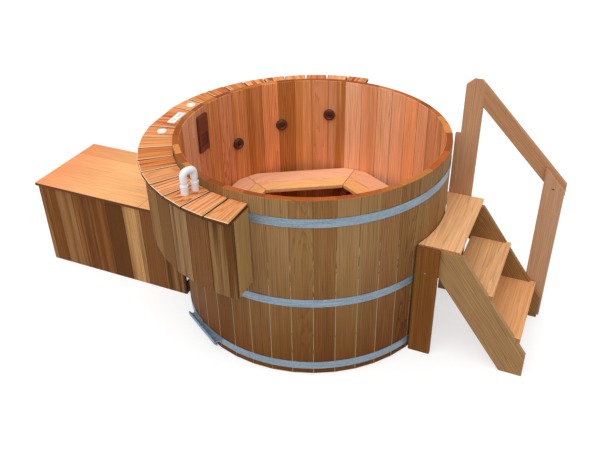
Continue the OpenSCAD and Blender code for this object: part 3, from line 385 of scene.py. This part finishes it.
coated("galvanised_steel", galvanised, ["hoops", "draw_lugs", "draw_rods"], Metallic=0.6)

# ---------------------------------------------------------------- bench
# Two mitred rings of seat boards lie on radial bearers, each on two legs. The seat is planed and bare,
# pink in the outer ring and yellower in the inner one.
SIDE_ANGLE = np.pi / 3


def seat(tones, strength):
    """Seat boards: six to a ring, with the grain along each side of the hexagon."""
    return planks(lambda t: ring_frame(t, first=-SIDE_ANGLE / 2, pitch=SIDE_ANGLE, middle=0.6, along="round"),
                  tones, ends="#a45a30", strength=strength, seam=0.0018, seam_tone="#d89c70")


coated("cedar_seat_outer", seat(["#fbbe95", "#f9b88f", "#fcc59e"], strength=0.2),
       ["bench_outer_boards"], Roughness=0.55)
coated("cedar_seat_inner", seat(["#ffc37e", "#fab874", "#ffc988"], strength=0.3),
       ["bench_inner_boards"], Roughness=0.55)
coated("cedar_bearers",
       planks(lambda t: ring_frame(t, first=0.0, pitch=SIDE_ANGLE, middle=0.65, along="out"),
              tones=["#a8683e", "#965a34"], ends="#7d4424", seam=0),
       ["bench_bearers"], Roughness=0.7)
coated("cedar_legs",
       planks(lambda t: ring_frame(t, first=0.0, pitch=SIDE_ANGLE, middle=0.65, along="z"),
              tones=["#a8683e", "#965a34"], ends="#7d4424", seam=0, step=9.0),
       ["bench_legs"], Roughness=0.7)

# ---------------------------------------------------------------- jets, suctions and skimmer
# Injection-moulded ABS in dark brown: six jets with faces that turn, two suction covers, and the
# skimmer's plate with its duct and its floating flap. Fine moulded texture, satin shine.


def moulded(colour, light):
    """Satin moulded plastic: a fine grain of 0.6 mm, and a slow drift of tone and shine from one place
    to the next, as wide as a hand, where it has weathered."""
    def mix(tree):
        place = add(tree, "TexCoord")[OBJECT]
        grit = add(tree, "TexNoise", place, 1600.0, 2.0, 0.5)[0]
        drift = add(tree, "TexNoise", place, 9.0, 2.0, 0.5)[0]
        drift = add(tree, "MapRange", drift, 0.35, 0.65, 0.0, 1.0)
        tone = add(tree, "Mix", drift, colour, light, data_type="RGBA")
        rough = add(tree, "MapRange", drift, 0.0, 1.0, 0.36, 0.5)
        return {"Base Color": tone, "Roughness": rough,
                "Normal": raised(tree, grit, strength=0.12, depth=0.0002)}
    return mix


jet_faces = ["jet_face_%d" % k for k in range(1, 7)]
coated("abs_brown", moulded("#6a3626", "#74402e"),
       ["jet_bodies", "suction_fittings", "skimmer_plate", "skimmer_throat"], IOR=1.53)
coated("abs_brown_faces", moulded("#54291d", "#603222"), jet_faces + ["skimmer_flap"], IOR=1.53)

# ---------------------------------------------------------------- cap
# Nineteen boards and a double one lie across the skirt's top, their grain pointing out from the tub and
# their upper edges bevelled. The double board carries the control panel. Oiled cedar, warm orange.
panel_angle = np.radians(-175.714)
PANEL_OUT = np.array([np.cos(panel_angle), np.sin(panel_angle), 0.0])
PANEL_ALONG = np.cross(Z, PANEL_OUT)


def with_shaded_sides(tree, board, colour, tone):
    """Puts a tone, a painted shade, on the upright faces, whose normals look up or down by less than 0.3."""
    up = add(tree, "Math", add(tree, "SeparateXYZ", board["facing"])[2], operation="ABSOLUTE")
    side = add(tree, "Math", up, 0.3, operation="LESS_THAN")
    return add(tree, "Mix", side, colour, tone, data_type="RGBA")


def cap_wood(tree, board, tones):
    """Cap boards: the bevels that face the front get a painted highlight and those behind a painted shade,
    and the sides and ends in the gaps are painted dark with shade."""
    wood = figure(tree, board, spacing=0.013, flat=0.3)
    colour = wood_colour(tree, wood, tones, strength=1.0, late="#a8541e")
    back, up = add(tree, "SeparateXYZ", board["facing"])[1:]
    # painted light on the bevels: pale highlight on those facing the front, painted shade on those behind
    bevel = add(tree, "Math", up, np.sqrt(0.5), 0.15, operation="COMPARE")
    behind = add(tree, "MapRange", back, -0.3, 0.3, 0.0, 1.0)
    edge = add(tree, "Mix", behind, "#fdd6a4", "#6e3a18", data_type="RGBA")
    colour = add(tree, "Mix", bevel, colour, edge, data_type="RGBA")
    return oiled(tree, wood, with_shaded_sides(tree, board, colour, "#5a3216"))


def cap_cedar(tree):
    """The single cap boards, each with its own tone."""
    board = ring_frame(tree, first=-np.pi / 2, pitch=PITCH, middle=0.96, along="out")
    tones = ["#f2a365", "#e0853a", "#faaf76", "#d27730", "#f5a96a", "#ee9f5e"]
    return cap_wood(tree, moved_on(tree, board, step=60.0), tones)


def panel_board_cedar(tree):
    """The double board is one piece of wood, so its frame is one wide straight board."""
    board = row_frame(tree, split=PANEL_ALONG, start=-2.0, width=4.0, grain=PANEL_OUT, middle=1.16)
    return cap_wood(tree, moved_on(tree, board, step=93.0), ["#ee9c66", "#e28a4a"])


coated("cedar_cap_oiled", cap_cedar, ["cap_boards"], Roughness=0.55)
coated("cedar_cap_double", panel_board_cedar, ["cap_panel_board"], Roughness=0.55)

# ---------------------------------------------------------------- skirt
# Upright planks hide the pipes on the tub's left half. They are nailed to two bent bands, which arms
# hold off the staves; a radial panel shuts each end. Oiled cedar in mixed heartwood and sapwood.
SKIRT_TONES = ["#926233", "#c89e6b", "#6f4716", "#d5aa79", "#926735", "#bc915f", "#754b18"]
LATHS = {"tones": ["#7a4e2c", "#6c4426"], "ends": "#7d5030", "seam": 0}
coated("cedar_skirt",
       planks(lambda t: ring_frame(t, first=-np.pi / 2, pitch=PITCH, middle=1.029, along="z"),
              SKIRT_TONES, ends="#a06436", strength=0.8, seam_tone="#4c3018", step=20.0, vary=0.2),
       ["skirt_planks"], Roughness=0.62)
coated("cedar_skirt_ends",
       planks(lambda t: row_frame(t, split=Y, start=-2.0, width=2.0, grain=Z, middle=-0.011),
              tones=["#a07444", "#b8925c"], ends="#a06436", seam=0, step=5.0),
       ["skirt_end_panels"], Roughness=0.62)
coated("cedar_bands",
       planks(lambda t: ring_frame(t, first=0.0, pitch=3 * PITCH, middle=1.012, along="round"), **LATHS),
       ["skirt_bands"], Roughness=0.75)
coated("cedar_arms",
       planks(lambda t: ring_frame(t, first=SEAM, pitch=PITCH, middle=0.95, along="out"), **LATHS),
       ["skirt_arms"], Roughness=0.75)

# ---------------------------------------------------------------- control panel and air knobs
# A white moulded bezel with three pale push buttons and a display, sunk in the double cap board, and
# two white air knobs that turn in valves under the cap. The display's clear pane lies in its recess.
coated("abs_white", moulded("#fbfaf7", "#f4f2ec"),
       ["control_panel", "air_knob_1", "air_knob_2", "air_valves"], IOR=1.53)
coated("abs_pale_grey", moulded("#dcdee0", "#e2e3e4"),
       ["panel_button_1", "panel_button_2", "panel_button_3"], IOR=1.53)
coated("abs_grey", moulded("#8d9296", "#9aa0a4"), ["control_pack"], IOR=1.53)
pane_middle = PANEL_OUT * 0.944 + PANEL_ALONG * 0.037 + Z * 1.178


def solid_of_rings(name, rings, frame_axes, centres):
    """A closed mesh from rings of points, an array of shape (rings, points, 3) that runs from the middle
    of the top over the rim to the middle of the underside. Neighbouring rings are joined by quads and
    the first and last are filled. It is placed once at each of the centres, turned by frame_axes."""
    count, around = rings.shape[:2]
    points = rings.reshape(-1, 3) @ np.asarray(frame_axes)
    points = points[None] + np.asarray(centres, float)[:, None]
    i, j = np.meshgrid(np.arange(count - 1), np.arange(around), indexing="ij")
    k = (j + 1) % around
    quads = np.stack([i * around + j, (i + 1) * around + j, (i + 1) * around + k, i * around + k], axis=-1)
    shift = np.arange(len(points)) * count * around
    quads = (quads.reshape(1, -1, 4) + shift[:, None, None]).reshape(-1, 4)
    top = np.arange(around)[None] + shift[:, None]
    under = np.arange(count * around - 1, (count - 1) * around - 1, -1)[None] + shift[:, None]
    mesh = bpy.data.meshes.new(name)
    mesh.from_pydata(points.reshape(-1, 3).tolist(), [], quads.tolist() + top.tolist() + under.tolist())
    mesh.update()
    piece = bpy.data.objects.new(name, mesh)
    bpy.context.scene.collection.objects.link(piece)
    return piece


def pane(length, width, thick):
    """A rounded pane: its outline is the curve where the fourth powers of x and y, each over its half
    size, add up to one. The outline shrinks to each share in turn, and the ring there stands at the
    height listed below it: half the thickness at the rim, then a round shoulder up to a nearly flat top,
    and a flat underside that lies a fifth of the thickness below the recess's floor."""
    t = np.linspace(0.0, 2 * np.pi, 64, endpoint=False)
    c, s = np.cos(t), np.sin(t)
    reach = (c ** 4 + s ** 4) ** -0.25
    outline = np.stack([reach * c * width / 2, reach * s * length / 2, 0 * t], axis=-1)
    share = np.array([0.06, 0.4, 0.7, 0.88, 0.96, 1.0, 1.0, 0.06])
    height = np.array([1.0, 0.98, 0.94, 0.86, 0.74, 0.5, -0.2, -0.2]) * thick
    rings = outline[None] * share[:, None, None]
    rings[..., 2] = height[:, None]
    return rings


def display_pane(tree):
    """A pale display under clear acrylic: grey green, with faint rows 7 mm apart where its segments lie,
    and the sharp shine of the acrylic."""
    place = add(tree, "TexCoord")[OBJECT]
    along = add(tree, "VectorMath", place, tuple(PANEL_ALONG), operation="DOT_PRODUCT")
    rows = add(tree, "Math", along, 900.0, operation="MULTIPLY")
    rows = add(tree, "Math", rows, operation="SINE")
    share = add(tree, "MapRange", rows, 0.2, 1.0, 0.0, 0.35)
    return {"Base Color": add(tree, "Mix", share, "#e2e7de", "#d0d7cc", data_type="RGBA")}


display = solid_of_rings("display_pane", pane(length=0.0572, width=0.0252, thick=0.0009),
                         [PANEL_OUT, PANEL_ALONG, Z], [pane_middle])
display.data.materials.append(coated("acrylic_display", display_pane, [], Roughness=0.08, IOR=1.49))
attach(display, "tub")

# ---------------------------------------------------------------- pipes
# White rigid PVC pipe with moulded elbows and collars: the bend that stands on the cap is the air
# loop, which keeps water out of the blower; the runs inside the skirt and box feed the jets.


def extruded(tree):
    """Smooth extruded PVC: nearly even and shiny, with a slow drift to a bluer white over 70 mm; the blue
    tint is painted light, standing in for bluish shade and sky reflection on the white pipe.
    """
    place = add(tree, "TexCoord")[OBJECT]
    drift = add(tree, "TexNoise", place, 14.0, 2.0, 0.5)[0]
    tone = add(tree, "Mix", drift, "#f7fafd", "#ebf3fc", data_type="RGBA")
    return {"Base Color": tone}


coated("pvc_white", extruded, ["air_loop_pipes", "air_loop_fittings", "water_pipes", "air_pipes",
       "filter_housing"], Roughness=0.28, IOR=1.53)

# ---------------------------------------------------------------- equipment box
# A box of upright planks fixed to a frame, against the tub's left side. The part of its top that lies
# under the skirt stays; the rest is a hinged lid of four boards on battens, oiled orange like the cap.
BOX_LEFT, BOX_PITCH = -1.949, 0.1435
BOX_TONES = ["#986232", "#c4945c", "#673c10", "#b77f4b", "#774613", "#cd9c65", "#6d3f12"]
coated("cedar_box_front",
       planks(lambda t: row_frame(t, split=X, start=BOX_LEFT, width=BOX_PITCH, grain=Z, middle=0.41, last=7),
              BOX_TONES, ends="#8a5630", strength=0.8, step=249.0, vary=0.2),
       ["box_front_planks"], Roughness=0.62)
coated("cedar_box_back",
       planks(lambda t: row_frame(t, split=X, start=BOX_LEFT, width=BOX_PITCH, grain=Z, middle=-0.226,
                                  last=7),
              SKIRT_TONES, ends="#8a5630", step=50.0, vary=0.28),
       ["box_back_planks"], Roughness=0.62)
coated("cedar_box_end",
       planks(lambda t: row_frame(t, split=Y, start=-0.400, width=0.154, grain=Z, middle=1.94, last=3),
              SKIRT_TONES, ends="#8a5630", step=60.0, vary=0.28),
       ["box_end_planks"], Roughness=0.62)
coated("cedar_box_frame",
       planks(lambda t: row_frame(t, split=X, start=-2.0, width=0.5, grain=Z, middle=0.0),
              tones=["#98683e", "#875a34"], ends="#7d5030", seam=0),
       ["box_frame", "box_sill"], Roughness=0.75)


def lid_cedar(tree):
    """Lid boards: oiled orange on top, redder towards the box's outer end, almost without joint lines,
    and painted shade in dark brown on their upright edges."""
    board = row_frame(tree, split=Y, start=-0.433, width=0.165, grain=X, middle=-0.644, last=3)
    wood = figure(tree, moved_on(tree, board, step=30.0), spacing=0.014, flat=0.4)
    colour = wood_colour(tree, wood, ["#f7b471", "#fbbb7c", "#f5ac68"], strength=0.4, late="#d07e44")
    colour = with_seams(tree, board, colour, width=0.0014, tone="#e6a468")
    along = add(tree, "SeparateXYZ", board["place"])[2]
    outer = add(tree, "MapRange", along, -1.45, -1.90, 0.0, 1.0)
    colour = add(tree, "Mix", outer, colour, "#f9dbd5", data_type="RGBA", blend_type="MULTIPLY")
    return oiled(tree, wood, with_shaded_sides(tree, board, colour, "#683a17"))


coated("cedar_lid_oiled", lid_cedar, ["lid_boards", "box_fixed_top"], Roughness=0.5)
coated("cedar_battens",
       planks(lambda t: row_frame(t, split=X, start=-2.0, width=0.33, grain=Y, middle=-0.6),
              tones=["#a5734a", "#96663e"], ends="#7d5030", seam=0),
       ["lid_battens"], Roughness=0.7)

# ---------------------------------------------------------------- hinges and screws
# Three galvanised butt hinges join the lid to the back wall, each with screws through its leaves. More
# screws hold the lid's boards to the battens. Their heads are cross-slotted and nearly flush.
coated("galvanised_hinges", galvanised, ["hinge_fixed_leaves", "hinge_lid_leaves"], Metallic=0.85)
HINGE_X = np.array([-1.850, -1.520, -1.190])


def screw_head(radius):
    """A countersunk head: the top is flat, falls off to the rim with the sixth power of the share of the
    radius and goes down a millimetre within a cross, whose two arms are drawn as narrow bars with soft
    edges; below the rim a cone runs into the wood."""
    share = np.array([0.04, 0.14, 0.24, 0.34, 0.44, 0.54, 0.64, 0.76, 0.9, 1.0, 1.0, 0.25])
    t = np.linspace(0.0, 2 * np.pi, 48, endpoint=False)
    x, y = share[:, None] * np.cos(t), share[:, None] * np.sin(t)
    arm = np.clip((0.17 - np.abs(x)) / 0.06, 0.0, 1.0) * np.clip((0.58 - np.abs(y)) / 0.1, 0.0, 1.0)
    bar = np.clip((0.17 - np.abs(y)) / 0.06, 0.0, 1.0) * np.clip((0.58 - np.abs(x)) / 0.1, 0.0, 1.0)
    z = 0.0005 * (1.0 - share[:, None] ** 6) - 0.001 * np.maximum(arm, bar)
    z[-2:] = np.array([[-0.0003], [-0.0016]])
    return np.stack([x * radius, y * radius, z], axis=-1)


def screws(name, radius, out, centres, body, material):
    """One set of screws with the same direction, as one piece that rides the body."""
    out = np.array(out, float)
    side = np.cross(out, X if abs(out[2]) > 0.5 else Z)
    piece = solid_of_rings(name, screw_head(radius), [np.cross(side, out), side, out], centres)
    piece.data.materials.append(material)
    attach(piece, body)


def zinc_plated(tree):
    """Zinc plating gone dull: a bluish grey with a slow change of tone."""
    drift = add(tree, "TexNoise", add(tree, "TexCoord")[OBJECT], 60.0, 2.0, 0.5)[0]
    return {"Base Color": add(tree, "Mix", drift, "#6f7886", "#a9b0b8", data_type="RGBA")}


zinc_plate = coated("zinc_plate", zinc_plated, [], Metallic=0.7, Roughness=0.45)
wall_leaf_y, lid_leaf_y, lid_leaf_z, batten_z = 0.238, 0.23805, 0.6475, 0.613
on_wall = [(-0.030, 0.617), (0.030, 0.617), (-0.014, 0.600), (0.014, 0.600)]
screws("hinge_wall_screws", radius=0.0032, out=Y, body="tub", material=zinc_plate,
       centres=[(x + aside, wall_leaf_y, z) for x in HINGE_X for aside, z in on_wall])
screws("hinge_lid_screws", radius=0.0028, out=Y, body="lid", material=zinc_plate,
       centres=[(x + aside, lid_leaf_y, lid_leaf_z) for x in HINGE_X for aside in (-0.031, 0.0, 0.031)])
batten_y = [-0.333, -0.290, -0.240, -0.131, -0.075, 0.034, 0.090, 0.148]
in_batten = [((-0.014, 0.014)[k % 2], y) for k, y in enumerate(batten_y)]
screws("batten_screws", radius=0.0042, out=-Z, body="lid", material=zinc_plate,
       centres=[(x + aside, y, batten_z) for x in HINGE_X for aside, y in in_batten])

# ---------------------------------------------------------------- pump and heater
# Inside the box stand a pump with a finned motor, its castings sprayed dark grey, and a heater: a
# stainless tube between two unions, brushed while it turned.


def enamelled(tree):
    """Sprayed enamel with a slight orange peel of about 2 mm, dusty where it has stood."""
    place = add(tree, "TexCoord")[OBJECT]
    peel = add(tree, "TexNoise", place, 480.0, 1.0, 0.5)[0]
    dust = add(tree, "TexNoise", place, 22.0, 3.0, 0.6)[0]
    tone = add(tree, "Mix", dust, "#2c3136", "#484d50", data_type="RGBA")
    rough = add(tree, "MapRange", dust, 0.3, 0.7, 0.32, 0.55)
    return {"Base Color": tone, "Roughness": rough,
            "Normal": raised(tree, peel, strength=0.15, depth=0.0003)}


def stainless(tree):
    """Brushed stainless tube: lines about 1 mm wide round the tube, seen as a change of roughness."""
    place = add(tree, "TexCoord")[OBJECT]
    lines = add(tree, "VectorMath", place, (900.0, 12.0, 12.0), operation="MULTIPLY")
    lines = add(tree, "TexNoise", lines, 1.0, 3.0, 0.6)[0]
    tone = add(tree, "Mix", lines, "#b6b8ba", "#cfd0d1", data_type="RGBA")
    return {"Base Color": tone, "Roughness": add(tree, "MapRange", lines, 0.3, 0.7, 0.22, 0.4)}


coated("enamel_pump", enamelled, ["pump"], IOR=1.5)
coated("stainless_steel", stainless, ["heater"], Metallic=1.0)

# ---------------------------------------------------------------- steps and handrail
# The lower treads are housed between two stringers and the top one lies on them; two posts and a sloping
# rail stand on the far side. All of it is planed cedar, straight-grained and oiled tan. One screw's head
# shows on the lower post, browned with age, and a plated one on the near leg.
FALL = np.array([1.0, 0.0, -1.357]) / np.hypot(1.0, 1.357)
DROP = np.array([1.0, 0.0, -1.007]) / np.hypot(1.0, 1.007)
coated("cedar_treads",
       planks(lambda t: row_frame(t, split=Z, start=0.15, width=0.257, grain=Y, middle=-1.2),
              tones=["#ecb27a", "#e09f67", "#f4bc86", "#e6a76f"], ends="#b8834f", spacing=0.016,
              strength=0.4, seam=0, step=70.0),
       ["step_treads"], Roughness=0.58)
coated("cedar_stringers",
       planks(lambda t: row_frame(t, split=Y, start=-1.0, width=1.0, grain=FALL, middle=0.9),
              tones=["#b18a5c", "#a47b4b"], ends="#a8744a", strength=0.8, seam=0, step=80.0),
       ["step_stringers"], Roughness=0.6)
# the near leg's dark tones are painted shade
coated("cedar_near_leg_shaded",
       planks(lambda t: row_frame(t, split=X, start=-2.0, width=4.0, grain=Z, middle=0.333),
              tones=["#7f4d1b", "#95622b", "#895521"], ends="#7a4f2c", spacing=0.008, strength=1.0, seam=0,
              step=91.0, vary=0.0),
       ["step_near_leg"], Roughness=0.62)
coated("cedar_posts",
       planks(lambda t: row_frame(t, split=X, start=0.7, width=0.45, grain=Z, middle=-0.33),
              tones=["#cb9a73", "#d5a885"], ends="#b0784a", strength=0.4, seam=0, step=100.0),
       ["handrail_upper_post", "handrail_lower_post", "post_packer"], Roughness=0.58)
coated("cedar_rail",
       planks(lambda t: row_frame(t, split=Y, start=-1.0, width=4.0, grain=DROP, middle=1.7),
              tones=["#c8946a", "#d0a074"], ends="#e0b080", strength=0.45, seam=0, step=110.0),
       ["handrail"], Roughness=0.58)

browned = coated("browned_screw", lambda t: {"Base Color": "#2e1f16"}, [], Metallic=0.5, Roughness=0.6)
screws("handrail_screw", radius=0.0060, out=-Y, body="tub", material=browned,
       centres=[(1.441, 0.306, 0.954)])
screws("near_leg_screw", radius=0.0050, out=-Y, body="tub", material=zinc_plate,
       centres=[(0.861, -0.3482, 0.608)])

# ---------------------------------------------------------------- floor and light
# A plain pale floor that keeps the shadow, a wide soft lamp above, and an even pale surrounding. Rays
# that the camera or a shiny surface sees find them white; the light on the tub stays at a plain level.


def seen_rays(tree):
    """One for the rays of the camera, of a mirror and of glass, nought for all others."""
    paths = add(tree, "LightPath")
    by_camera, by_mirror, through_glass = paths[0], paths[3], paths[6]
    seen = add(tree, "Math", by_camera, by_mirror, operation="MAXIMUM")
    return add(tree, "Math", seen, through_glass, operation="MAXIMUM")


floor_side = 14.0
floor = bpy.data.meshes.new("studio_floor")
corners = np.array([[-1, -1, 0], [1, -1, 0], [1, 1, 0], [-1, 1, 0]]) * floor_side - Z * 0.0005
floor.from_pydata(corners.tolist(), [], [(0, 1, 2, 3)])
floor_object = bpy.data.objects.new("studio_floor", floor)
bpy.context.scene.collection.objects.link(floor_object)
paper = bpy.data.materials.new("studio_paper")
paper.use_nodes = True
tree = paper.node_tree
tree.nodes.clear()
matt = add(tree, "BsdfDiffuse", "#bcbcbc")
lit = add(tree, "AddShader", matt, add(tree, "Emission", "#ffffff", 0.6))
end = tree.nodes.new("ShaderNodeOutputMaterial")
tree.links.new(add(tree, "MixShader", seen_rays(tree), matt, lit), end.inputs["Surface"])
floor.materials.append(paper)

world = bpy.data.worlds.new("studio")
world.use_nodes = True
bpy.context.scene.world = world
tree = world.node_tree
tree.nodes.clear()
power = add(tree, "MapRange", seen_rays(tree), 0.0, 1.0, 0.64, 1.0)
sky = add(tree, "Background", "#ffffff", power)
end = tree.nodes.new("ShaderNodeOutputWorld")
tree.links.new(sky, end.inputs["Surface"])

lamp = bpy.data.lights.new("soft_sun", "SUN")
lamp.energy = 1.55
lamp.angle = np.radians(70.0)
towards = np.array([-0.08, -0.46, 0.88])
towards /= np.linalg.norm(towards)
aside = np.cross(Z, towards) / np.hypot(towards[0], towards[1])
stand(bpy.data.objects.new("soft_sun", lamp), [aside, np.cross(towards, aside), towards], (0.0, 0.0, 0.0))

bpy.context.scene.view_settings.view_transform = "Standard"
